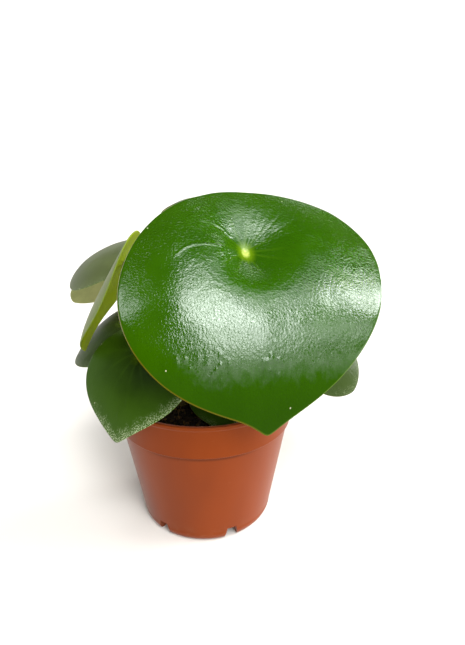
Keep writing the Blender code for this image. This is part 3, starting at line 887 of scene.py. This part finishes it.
def stalk_tube(leaf):
    """A stalk that widens where it leaves its stem and where it meets the blade."""
    line = stalk_line(leaf)
    travelled = np.cumsum([0] + [(b - a).length for a, b in zip(line, line[1:])])
    part = travelled / travelled[-1]
    base = 1.1 * np.exp(-((travelled / (2.2 * leaf.stalk)) ** 2))
    top = 0.9 * np.exp(-(((travelled[-1] - travelled) / (1.1 * leaf.stalk)) ** 2))
    return tube(line, leaf.stalk * (1.12 - 0.26 * part + base + top), STALK_SIDES)


def stem_tube(name):
    """A stem with a raised ring at each place where a stalk grows or a leaf has fallen."""
    stem = STEMS[name]
    foot, top = stem_ends(stem)
    low = stem_point(stem, 0)
    growing = [leaf.up for leaf in LEAVES.values() if leaf.stem == name]
    rings = sorted([*growing, *SCARS])
    centres, radii = [foot, foot.lerp(low, 0.5)], [stem.radius, stem.radius]
    length = (top - low).length
    for step in range(STEM_STEPS + 1):
        up = step / STEM_STEPS * (1 + 2 / length)
        ring = sum(np.exp(-(((up - place) * length / RING_REACH) ** 2)) for place in rings)
        taper = 1 - 0.2 * up - 0.55 * smooth_step(up, 0.95, 1 + 2 / length) ** 2
        centres.append(low.lerp(top, up))
        radii.append(stem.radius * (taper + 0.07 * min(ring, 1.2)))
    return tube(centres, radii, STEM_SIDES)


def make_stem(name, finish):
    """A stem and its stalks under one skin."""
    tubes = [stem_tube(name)] + [stalk_tube(leaf) for leaf in LEAVES.values() if leaf.stem == name]
    points, faces = [], []
    for more, sides in tubes:
        faces += [tuple(len(points) + index for index in side) for side in sides]
        points += more
    core = new_object("core", new_mesh("core", points, faces))
    skin = core.modifiers.new("skin", "REMESH")
    skin.mode = "VOXEL"
    skin.voxel_size = SKIN_VOXEL * MM
    relax = core.modifiers.new("relax", "SMOOTH")
    relax.iterations = SKIN_RELAX
    mesh = baked(core)
    bpy.data.objects.remove(core)
    mark_joints(mesh, name)
    mesh.shade_smooth()
    return add_piece("stalks_" + name, mesh, finish, "stalk", "stem_" + name)


def baked(thing):
    """The plain mesh that a thing's modifiers give."""
    bpy.context.view_layer.update()
    return bpy.data.meshes.new_from_object(thing.evaluated_get(bpy.context.evaluated_depsgraph_get()))


def mark_joints(mesh, name):
    """An attribute that is 1 on the stem and fades to 0 along the stalks."""
    stem = STEMS[name]
    tree = KDTree(JOINT_STEPS + 1)
    for step in range(JOINT_STEPS + 1):
        tree.insert(stem_point(stem, step / JOINT_STEPS), step)
    tree.balance()
    layer = mesh.attributes.new("joint", "FLOAT", "POINT")
    away = [tree.find(vertex.co / MM)[2] for vertex in mesh.vertices]
    far = stem.radius + JOINT_FADE
    layer.data.foreach_set("value", 1 - smooth_step(np.array(away), stem.radius, far))


# Soil

def soil_height(x, y):
    """The soil's uneven top, in mm."""
    waves = np.sin(x * 0.21 + 1.1) * np.cos(y * 0.18 - 0.4) + 0.6 * np.sin(x * 0.095 - y * 0.12 + 2.0)
    place = np.stack([x, y], -1)
    return SOIL_TOP + 0.9 * waves + 0.7 * lumps(place, 6, 1) + 0.5 * lumps(place, 2.6, 2)


def pot_outside(z):
    """The body's outer radius at a height between the heel and the collar."""
    share = (z - HEEL_HEIGHT) / (COLLAR_FOOT - HEEL_HEIGHT)
    return HEEL_RADIUS + (COLLAR_FOOT_RADIUS - COLLAR_STEP - HEEL_RADIUS) * share


def pot_inside(z):
    return pot_outside(z) - WALL


def turned(profile, sides):
    """Points and faces of a solid turned about Z from (radius, z) points. It begins and ends on Z."""
    turn = np.arange(sides) * 2 * pi / sides
    ring = np.array(profile[1:-1])
    radius, height = ring[:, :1], ring[:, 1:]
    points = np.stack([radius * np.cos(turn), radius * np.sin(turn), height + 0 * turn], -1)
    points = np.concatenate([[[0, 0, profile[0][1]]], points.reshape(-1, 3), [[0, 0, profile[-1][1]]]])
    faces = grid_faces(1, len(ring), sides, False)
    last = len(points) - 1
    for side in range(sides):
        after = (side + 1) % sides
        faces.append((0, 1 + after, 1 + side))
        faces.append((last, last - sides + side, last - sides + after))
    return points, faces


def soil_mesh():
    """A turned solid with an uneven top, a little clear of the pot inside."""
    edge = COLLAR_FOOT_RADIUS - WALL - GAP
    profile = [
        (0, FLOOR_TOP + GAP),
        (pot_inside(HEEL_HEIGHT) - GAP - CORNER, FLOOR_TOP + GAP),
        (pot_inside(HEEL_HEIGHT) - GAP, FLOOR_TOP + GAP + CORNER),
        (pot_inside(COLLAR_FOOT) - GAP, COLLAR_FOOT - 0.4),
        (edge, COLLAR_FOOT + 2.0),
    ]
    profile += [(edge * (SOIL_RINGS - ring) / SOIL_RINGS, SOIL_TOP) for ring in range(SOIL_RINGS)]
    points, faces = turned(profile + [(0, SOIL_TOP)], SOIL_SIDES)
    top = points[:, 2] > SOIL_TOP - 0.01
    points[top, 2] = soil_height(points[top, 0], points[top, 1])
    return new_mesh("soil_bed", points, faces, {"crumb": np.zeros(len(points))})


class Tree(Wire):
    """A geometry node tree, with a wire from each of its named inputs."""

    def __init__(self, name, inputs):
        super().__init__(bpy.data.node_groups.new(name, "GeometryNodeTree"))
        sockets = self.tree.interface
        sockets.new_socket("Geometry", in_out="OUTPUT", socket_type="NodeSocketGeometry")
        for label, kind in inputs.items():
            sockets.new_socket(label, in_out="INPUT", socket_type="NodeSocket" + kind)
        entry = self.tree.nodes.new("NodeGroupInput")
        self.inputs = {label: Wire(self.tree, entry.outputs[label]) for label in inputs}

    def gather(self, kind, geometries):
        """A node whose one socket takes several geometries, the last of them first."""
        made = self.tree.nodes.new(kind)
        for geometry in geometries:
            self.tree.links.new(geometry.socket, made.inputs[0])
        return Wire(self.tree, made.outputs[0])

    def finish(self, geometry):
        """Ends the tree in plain geometry with its material."""
        real = self.node("GeometryNodeRealizeInstances", inputs={0: geometry})
        dressed = self.node(
            "GeometryNodeSetMaterial", inputs={"Geometry": real, "Material": self.inputs["Finish"]})
        self.tree.links.new(dressed.socket, self.tree.nodes.new("NodeGroupOutput").inputs[0])

    def use_on(self, thing, values):
        """Adds the tree to a thing as a modifier, with its inputs set by the sockets' identifiers."""
        modifier = thing.modifiers.new(self.tree.name, "NODES")
        modifier.node_group = self.tree
        for item in self.tree.interface.items_tree:
            if item.in_out == "INPUT" and item.name in values:
                modifier[item.identifier] = values[item.name]


def random_value(tree, seed, low, high, kind="FLOAT", output=1):
    """A random value for each point. Each kind has its own pair of sockets, and its own output."""
    limits = {2 * output: low, 2 * output + 1: high, "Seed": seed}
    return tree.node("FunctionNodeRandomValue", {"data_type": kind}, limits, output)


def lumpy_shape(tree, subdivisions, scale, seed):
    """A small ball knocked out of round, and stretched."""
    ball = tree.node("GeometryNodeMeshIcoSphere", inputs={"Radius": 1.0, "Subdivisions": subdivisions})
    position = tree.node("GeometryNodeInputPosition")
    waves = {"Vector": position, "W": seed, "Scale": 1.3}
    shape = tree.node("ShaderNodeTexNoise", {"noise_dimensions": "4D"}, waves, 1)
    middle = (0.5, 0.5, 0.5)
    knocked = tree.node("ShaderNodeVectorMath", {"operation": "SUBTRACT"}, {0: shape, 1: middle})
    pushed = tree.node("ShaderNodeVectorMath", {"operation": "SCALE"}, {0: knocked, "Scale": 1.5})
    moved = tree.node("GeometryNodeSetPosition", inputs={"Geometry": ball, "Offset": pushed})
    return tree.node("GeometryNodeTransform", inputs={"Geometry": moved, "Scale": scale})


def scattered(tree, shapes, density, reach):
    """The shapes strewn over the soil's top as far as reach, turned and sized at random.

    Each has a random number of its own, crumb.
    """
    upward = axis(tree.node("GeometryNodeInputNormal"), 2)
    facing = tree.node("FunctionNodeCompare", {"operation": "GREATER_THAN"}, {0: upward, 1: 0.5})
    away = distance(stretched(tree.node("GeometryNodeInputPosition"), (1, 1, 0)), (0, 0, 0))
    inside = tree.node("FunctionNodeCompare", {"operation": "LESS_THAN"}, {0: away, 1: reach})
    chosen = tree.node("FunctionNodeBooleanMath", {"operation": "AND"}, {0: facing, 1: inside})
    spots = tree.node("GeometryNodeDistributePointsOnFaces", inputs={
        "Mesh": tree.inputs["Geometry"], "Selection": chosen, "Density": density,
        "Seed": tree.inputs["Seed"]})
    turns = random_value(tree, 3, (0, 0, 0), (2 * pi, 2 * pi, 2 * pi), "FLOAT_VECTOR", 0)
    sizes = random_value(tree, 4, tree.inputs["Smallest"], tree.inputs["Largest"])
    kinds = random_value(tree, 5, 0, len(shapes) - 1, "INT", 2)
    shades = random_value(tree, 6, 0.0, 1.0)
    choices = tree.gather("GeometryNodeGeometryToInstance", reversed(shapes))
    placed = tree.node("GeometryNodeInstanceOnPoints", inputs={
        "Points": spots, "Instance": choices, "Pick Instance": True, "Instance Index": kinds,
        "Rotation": turns, "Scale": sizes})
    return tree.node("GeometryNodeStoreNamedAttribute", {"data_type": "FLOAT", "domain": "INSTANCE"},
                     {"Geometry": placed, "Name": "crumb", "Value": shades})


def crumb_tree():
    """Crumbs and fibres over the soil."""
    tree = Tree("soil crumbs", {
        "Geometry": "Geometry", **dict.fromkeys(CRUMB_SIZES, "Float"), "Seed": "Int",
        "Finish": "Material"})
    chunks = [lumpy_shape(tree, *shape) for shape in CRUMB_SHAPES]
    strands = [lumpy_shape(tree, *shape) for shape in FIBRE_SHAPES]
    crumbs = scattered(tree, chunks, tree.inputs["Density"], tree.inputs["Reach"])
    fibres = scattered(tree, strands, tree.inputs["Fibre Density"], tree.inputs["Fibre Reach"])
    tree.finish(tree.gather("GeometryNodeJoinGeometry", (fibres, crumbs, tree.inputs["Geometry"])))
    return tree


def make_soil(finish):
    bed = new_object("bed", soil_mesh())
    crumb_tree().use_on(bed, {**CRUMB_SIZES, "Seed": CRUMB_SEED, "Finish": finish})
    mesh = baked(bed)
    bpy.data.objects.remove(bed)
    return add_piece("soil_bed", mesh, finish, "soil", "soil")


# Pot

def eased(profile, radius, steps=4):
    """The profile with each of its corners rounded."""
    points = [np.array(point, float) for point in profile]
    result = [tuple(points[0])]
    for before, corner, after in zip(points, points[1:], points[2:]):
        back, on = before - corner, after - corner
        cut = min(radius, np.linalg.norm(back) * 0.45, np.linalg.norm(on) * 0.45)
        first = corner + back / np.linalg.norm(back) * cut
        last = corner + on / np.linalg.norm(on) * cut
        for step in range(steps + 1):
            t = step / steps
            result.append(tuple(first * (1 - t) ** 2 + corner * 2 * t * (1 - t) + last * t * t))
    return result + [tuple(points[-1])]


def pot_profile():
    """The pot's section as (radius, z) points, from under its middle round to the floor inside."""
    heel = [
        (FOOT_RADIUS + (HEEL_RADIUS - FOOT_RADIUS) * sin(turn), HEEL_HEIGHT * (1 - cos(turn)))
        for turn in (radians(step) for step in (0, 15, 30, 45, 60, 75, 90))
    ]
    return eased([
        (0, GATE_DEPTH),
        (GATE_RADIUS, GATE_DEPTH),
        (GATE_RADIUS + 0.4, 0),
        (PAD_RADIUS, 0),
        (PAD_RADIUS + 0.4, FOOT_HEIGHT),
        (FOOT_RADIUS - 0.5, FOOT_HEIGHT),
        (FOOT_RADIUS - FOOT_WIDTH, 0),
        *heel,
        (pot_outside(COLLAR_FOOT), COLLAR_FOOT - 0.2),
        (COLLAR_FOOT_RADIUS - 0.2, COLLAR_FOOT),
        (COLLAR_FOOT_RADIUS, COLLAR_FOOT + 0.5),
        (RIM_RADIUS - 0.5, POT_HEIGHT - 2.6),
        (RIM_RADIUS, POT_HEIGHT - 1.8),
        (RIM_RADIUS, POT_HEIGHT),
        (RIM_RADIUS - LIP, POT_HEIGHT),
        (COLLAR_FOOT_RADIUS - WALL, COLLAR_FOOT + 1.2),
        (pot_inside(COLLAR_FOOT), COLLAR_FOOT - 0.6),
        (pot_inside(HEEL_HEIGHT), FLOOR_TOP + CORNER),
        (pot_inside(HEEL_HEIGHT) - CORNER, FLOOR_TOP),
        (0, FLOOR_TOP),
    ], CORNER_ROUND)


def make_pot(finish):
    """A turned shell with its notches and drain holes cut out."""
    points, faces = turned(pot_profile(), POT_SIDES)
    pot = new_object("blank", new_mesh("pot_shell", points, faces))
    cutters = []
    narrowing = NOTCH_TOP / NOTCH_WIDTH
    for number in range(NOTCHES):
        turn = radians(FIRST_NOTCH + 360 / NOTCHES * number)
        outward = Vector((cos(turn), sin(turn), 0)) * MM
        bpy.ops.mesh.primitive_cube_add(size=1, rotation=(0, 0, turn), location=outward * FOOT_RADIUS)
        notch = bpy.context.object
        notch.dimensions = Vector((NOTCH_DEPTH, NOTCH_WIDTH, 2 * NOTCH_HEIGHT)) * MM
        for corner in notch.data.vertices:
            corner.co.y *= narrowing if corner.co.z > 0 else 2 - narrowing
        cutters.append(notch)
        bpy.ops.mesh.primitive_cylinder_add(
            vertices=DRAIN_SIDES, radius=DRAIN_RADIUS * MM, depth=DRAIN_DEPTH * MM,
            location=outward * DRAIN_CIRCLE)
        cutters.append(bpy.context.object)
    for cutter in cutters:
        hole = pot.modifiers.new("hole", "BOOLEAN")
        hole.operation = "DIFFERENCE"
        hole.solver = "EXACT"
        hole.object = cutter
    mesh = baked(pot)
    for thing in [pot, *cutters]:
        bpy.data.objects.remove(thing)
    mesh.shade_smooth()
    mesh.set_sharp_from_angle(angle=radians(SHARP_ANGLE))
    return add_piece("pot_shell", mesh, finish, "pot_plastic", "pot")


# Studio

CAMERA_PLACE = (0.0172, -0.2662, 0.2049)
CAMERA_TILT = 72.3  # degrees up from looking straight down
CAMERA_ROLL = 0.26  # degrees
CAMERA_LENS = 27.0  # mm, as the sensor
CAMERA_SENSOR = 36.0
CAMERA_NEAR = 0.01
CAMERA_FAR = 100.0
FLOOR_REACH = 30.0
BACKDROP_COLOUR = (1.04, 1.03, 1.01)
ROOM_COLOUR = (0.06, 0.06, 0.06)
CEILING_COLOUR = (0.02, 0.02, 0.02)
WINDOW_COLOUR = (1.0, 0.98, 0.94)
LAMP_COLOUR = (1.0, 0.98, 0.95)
WINDOW_LIGHTS = (  # as (name, azimuth, elevation, radius, strength)
    ("window left", 13, 50, 11, 0.85),
    ("window right", 30, 47, 11, 0.85),
    ("window low", 21, 29, 14, 1.3),
    ("window foot", 24, 10, 14, 0.6),
    ("window high", 16, 67, 12, 1.1),
    ("room", 54, 22, 13, 0.42),
)
LAMPS = (
    ("right", 87, 41, 12, 1.6),
    ("right low", 114, 16, 10, 1.8),
    ("above", 71, 64, 12, 0.32),
    ("left", -58, 52, 8, 0.22),
    ("behind", 170, 32, 14, 0.6),
)


def make_floor():
    """A broad flat sheet of pale paper."""
    reach = FLOOR_REACH / MM
    corners = [(-reach, -reach, 0), (reach, -reach, 0), (reach, reach, 0), (-reach, reach, 0)]
    floor = new_object("floor", new_mesh("floor", corners, [(0, 1, 2, 3)]))
    floor.data.materials.append(floor_finish())
    floor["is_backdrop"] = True


def make_world():
    """A pale backdrop behind the plant, a duller room in front of it and a dim ceiling.

    The camera sees the pale backdrop all round.
    """
    world = bpy.data.worlds.new("studio")
    bpy.context.scene.world = world
    world.use_nodes = True
    root = Wire(world.node_tree)
    way = root.node("ShaderNodeTexCoord")
    walls = blend(fade(axis(way, 1), -0.5, 0.3), ROOM_COLOUR, BACKDROP_COLOUR)
    colour = blend(fade(axis(way, 2), 0.5, 0.3), CEILING_COLOUR, walls)
    seen = root.node("ShaderNodeLightPath")
    colour = blend(seen, colour, BACKDROP_COLOUR)
    world.node_tree.links.new(colour.socket, world.node_tree.nodes["Background"].inputs["Color"])


def soft_light(colour, name, azimuth, elevation, radius, strength):
    """A far round light. Azimuth 0 is in front of the plant and 90 to its right.

    radius is half its width as seen from the plant, in degrees.
    """
    lamp = bpy.data.lights.new(name, "SUN")
    lamp.angle = radians(2 * radius)
    lamp.energy = strength
    lamp.color = colour
    thing = new_object(name, lamp)
    a, e = radians(azimuth), radians(elevation)
    way = Vector((sin(a) * cos(e), -cos(a) * cos(e), sin(e)))
    thing.location = way
    thing.rotation_euler = way.to_track_quat("Z", "Y").to_euler()


def make_studio():
    make_floor()
    make_world()
    for light in WINDOW_LIGHTS:
        soft_light(WINDOW_COLOUR, *light)
    for light in LAMPS:
        soft_light(LAMP_COLOUR, *light)
    bpy.context.scene.view_settings.view_transform = "Standard"


def make_camera():
    lens = bpy.data.cameras.new("camera")
    lens.lens = CAMERA_LENS
    lens.sensor_width = CAMERA_SENSOR
    lens.clip_start, lens.clip_end = CAMERA_NEAR, CAMERA_FAR
    camera = new_object("camera", lens)
    camera.location = CAMERA_PLACE
    camera.rotation_euler = (radians(CAMERA_TILT), radians(CAMERA_ROLL), 0)
    bpy.context.scene.camera = camera


def write_sizes():
    """Works out the CAD model's box and the visual model's box as plain lists; it keeps neither."""
    boxes = {"cad": CAD_BOX, "visual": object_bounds()}
    boxes = {name: [list(corner) for corner in box] for name, box in boxes.items()}


def main():
    finishes = {name: leaf_finish("leaf_" + name, look) for name, look in LEAF_LOOKS.items()}
    skin = stalk_finish()
    make_leaves(finishes)
    for name in STEMS:
        make_stem(name, skin)
    make_soil(soil_finish())
    make_pot(pot_finish())
    make_studio()
    make_camera()
    write_sizes()


main()
